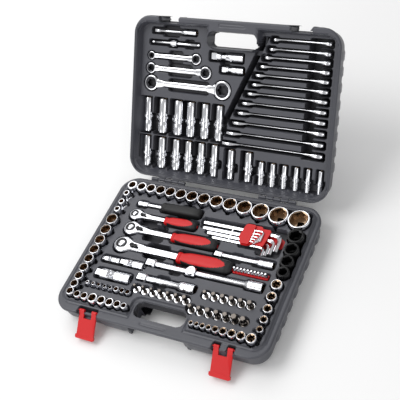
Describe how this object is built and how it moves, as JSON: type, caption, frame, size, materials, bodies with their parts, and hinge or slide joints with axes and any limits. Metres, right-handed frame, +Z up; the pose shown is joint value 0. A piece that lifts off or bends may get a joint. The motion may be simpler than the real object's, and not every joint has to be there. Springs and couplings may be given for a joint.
{
  "type": "socket wrench set in case",
  "caption": "Open blow-moulded carrying case with trays of chrome sockets, ratchets, bits, extensions, hex keys and combination wrenches, and two hinged latches.",
  "frame": {"origin": "centre of the underside of the case base, on the floor", "axes": "+X along the lid hinge, to the right seen from the latch side; +Y from the latches towards the hinge; +Z up"},
  "size_m": [0.449, 0.621, 0.3049],
  "materials": {
    "case": "blow-moulded grain",
    "latch": "smooth moulded",
    "chrome": "polished plating",
    "impact": "black oxide",
    "grip_red": "satin moulded",
    "grip_black": "satin moulded",
    "steel_dark": "blackened steel",
    "holder_red": "satin moulded"
  },
  "bodies": {
    "base": {"base_half": "case", "bit_set": "chrome", "bit_sockets_front": "chrome", "bit_sockets_rear": "chrome", "bit_strip": "holder_red", "extension_half_long": "chrome", "extension_half_short": "chrome", "extension_three_eighths": "chrome", "hex_holder": "holder_red", "hex_keys_long": "chrome", "hex_keys_short": "chrome", "hinge_pin_left": "chrome", "hinge_pin_right": "chrome", "joint_half": "chrome", "joint_quarter": "chrome", "joint_three_eighths": "chrome", "ratchet_half_body": "chrome", "ratchet_half_grip": "grip_red", "ratchet_quarter_body": "chrome", "ratchet_quarter_grip": "grip_red", "ratchet_three_eighths_body": "chrome", "ratchet_three_eighths_grip": "grip_red", "slider_head": "chrome", "sockets_back_row": "chrome", "sockets_etorx": "chrome", "sockets_impact": "impact", "sockets_left_rows": "chrome", "sockets_quarter_row": "chrome", "spinner_grip": "grip_black", "spinner_shaft": "chrome"},
    "lid": {"adapter_large": "chrome", "adapter_small": "chrome", "combination_wrenches": "chrome", "deep_sockets_front": "chrome", "deep_sockets_rear": "chrome", "extension_quarter": "chrome", "lid_half": "case", "ring_wrench_large_body": "chrome", "ring_wrench_medium_body": "chrome", "ring_wrench_small_body": "chrome", "tbar": "chrome", "tbar_slider": "chrome"},
    "latch_left": {"latch_left": "latch"},
    "latch_right": {"latch_right": "latch"},
    "ratchet_quarter_button": {"ratchet_quarter_button": "chrome"},
    "ratchet_quarter_lever": {"ratchet_quarter_lever": "steel_dark"},
    "ratchet_quarter_drive": {"ratchet_quarter_drive": "chrome"},
    "ratchet_three_eighths_button": {"ratchet_three_eighths_button": "chrome"},
    "ratchet_three_eighths_lever": {"ratchet_three_eighths_lever": "steel_dark"},
    "ratchet_three_eighths_drive": {"ratchet_three_eighths_drive": "chrome"},
    "ratchet_half_button": {"ratchet_half_button": "chrome"},
    "ratchet_half_lever": {"ratchet_half_lever": "steel_dark"},
    "ratchet_half_drive": {"ratchet_half_drive": "chrome"},
    "ring_wrench_small_small": {"ring_wrench_small_small": "chrome"},
    "ring_wrench_small_large": {"ring_wrench_small_large": "chrome"},
    "ring_wrench_medium_small": {"ring_wrench_medium_small": "chrome"},
    "ring_wrench_medium_large": {"ring_wrench_medium_large": "chrome"},
    "ring_wrench_large_small": {"ring_wrench_large_small": "chrome"},
    "ring_wrench_large_large": {"ring_wrench_large_large": "chrome"}
  },
  "joints": [
    {"name": "lid_hinge", "type": "hinge", "parent": "base", "child": "lid", "pos_m": [0, 0.171, 0.046], "axis": [1, 0, 0], "range_deg": [0, 130]},
    {"name": "latch_left_hinge", "type": "hinge", "parent": "base", "child": "latch_left", "pos_m": [-0.143, -0.158, 0.042], "axis": [-1, 0, 0], "range_deg": [0, 128]},
    {"name": "latch_right_hinge", "type": "hinge", "parent": "base", "child": "latch_right", "pos_m": [0.143, -0.158, 0.042], "axis": [-1, 0, 0], "range_deg": [0, 128]},
    {"name": "ratchet_quarter_button_press", "type": "slide", "parent": "base", "child": "ratchet_quarter_button", "axis": [0, 0, -1], "range_m": [0, 0.0025], "stiffness_N_per_m": 200, "springref_m": -0.002},
    {"name": "ratchet_quarter_lever_turn", "type": "hinge", "parent": "base", "child": "ratchet_quarter_lever", "pos_m": [-0.135, 0.07, 0.056], "axis": [0, 0, 1], "range_deg": [0, 40]},
    {"name": "ratchet_quarter_drive_spin", "type": "hinge", "parent": "base", "child": "ratchet_quarter_drive", "pos_m": [-0.152, 0.07, 0.042], "axis": [0, 0, 1], "continuous": true},
    {"name": "ratchet_three_eighths_button_press", "type": "slide", "parent": "base", "child": "ratchet_three_eighths_button", "axis": [0, 0, -1], "range_m": [0, 0.0025], "stiffness_N_per_m": 200, "springref_m": -0.002},
    {"name": "ratchet_three_eighths_lever_turn", "type": "hinge", "parent": "base", "child": "ratchet_three_eighths_lever", "pos_m": [-0.128, 0.0365, 0.056], "axis": [0, 0, 1], "range_deg": [0, 40]},
    {"name": "ratchet_three_eighths_drive_spin", "type": "hinge", "parent": "base", "child": "ratchet_three_eighths_drive", "pos_m": [-0.145, 0.0365, 0.039], "axis": [0, 0, 1], "continuous": true},
    {"name": "ratchet_half_button_press", "type": "slide", "parent": "base", "child": "ratchet_half_button", "axis": [0, 0, -1], "range_m": [0, 0.0025], "stiffness_N_per_m": 200, "springref_m": -0.002},
    {"name": "ratchet_half_lever_turn", "type": "hinge", "parent": "base", "child": "ratchet_half_lever", "pos_m": [-0.121, -0.004, 0.056], "axis": [0, 0, 1], "range_deg": [0, 40]},
    {"name": "ratchet_half_drive_spin", "type": "hinge", "parent": "base", "child": "ratchet_half_drive", "pos_m": [-0.145, -0.004, 0.035], "axis": [0, 0, 1], "continuous": true},
    {"name": "ring_wrench_small_small_spin", "type": "hinge", "parent": "lid", "child": "ring_wrench_small_small", "pos_m": [-0.19, 0.34858, 0.23118], "axis": [0, -0.766, 0.6428], "continuous": true},
    {"name": "ring_wrench_small_large_spin", "type": "hinge", "parent": "lid", "child": "ring_wrench_small_large", "pos_m": [-0.085, 0.34858, 0.23118], "axis": [0, -0.766, 0.6428], "continuous": true},
    {"name": "ring_wrench_medium_small_spin", "type": "hinge", "parent": "lid", "child": "ring_wrench_medium_small", "pos_m": [-0.19, 0.33186, 0.21126], "axis": [0, -0.766, 0.6428], "continuous": true},
    {"name": "ring_wrench_medium_large_spin", "type": "hinge", "parent": "lid", "child": "ring_wrench_medium_large", "pos_m": [-0.062, 0.33186, 0.21126], "axis": [0, -0.766, 0.6428], "continuous": true},
    {"name": "ring_wrench_large_small_spin", "type": "hinge", "parent": "lid", "child": "ring_wrench_large_small", "pos_m": [-0.188, 0.31194, 0.18751], "axis": [0, -0.766, 0.6428], "continuous": true},
    {"name": "ring_wrench_large_large_spin", "type": "hinge", "parent": "lid", "child": "ring_wrench_large_large", "pos_m": [-0.022, 0.31194, 0.18751], "axis": [0, -0.766, 0.6428], "continuous": true}
  ]
}
